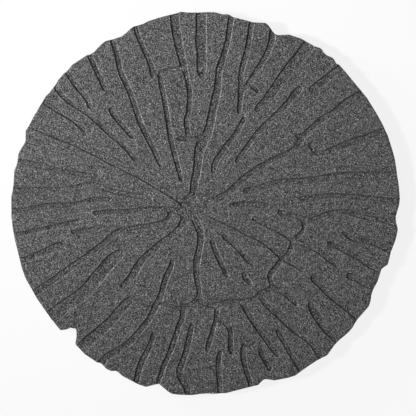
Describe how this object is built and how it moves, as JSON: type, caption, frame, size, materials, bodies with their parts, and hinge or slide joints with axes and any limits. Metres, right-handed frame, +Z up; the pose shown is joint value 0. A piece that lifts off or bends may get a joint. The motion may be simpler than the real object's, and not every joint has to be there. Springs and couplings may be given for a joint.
{
  "type": "garden stepping stone",
  "caption": "Round wavy-edged garden stepping stone, a thin flat slab moulded from bonded rubber crumb, with shallow crack-like channels running out from near its middle.",
  "frame": {"origin": "on the flat underside, under the middle of the slab's outline", "axes": "+Z up, out of the channelled top; +X to the right and +Y away from the viewer, as the slab lies in the picture"},
  "size_m": [0.45, 0.4436, 0.018],
  "materials": {
    "rubber_crumb": "matte grey bonded rubber crumb with a fine granular surface, fine black and pale specks"
  },
  "bodies": {
    "root": {"stepping_stone": "rubber_crumb"}
  },
  "joints": []
}
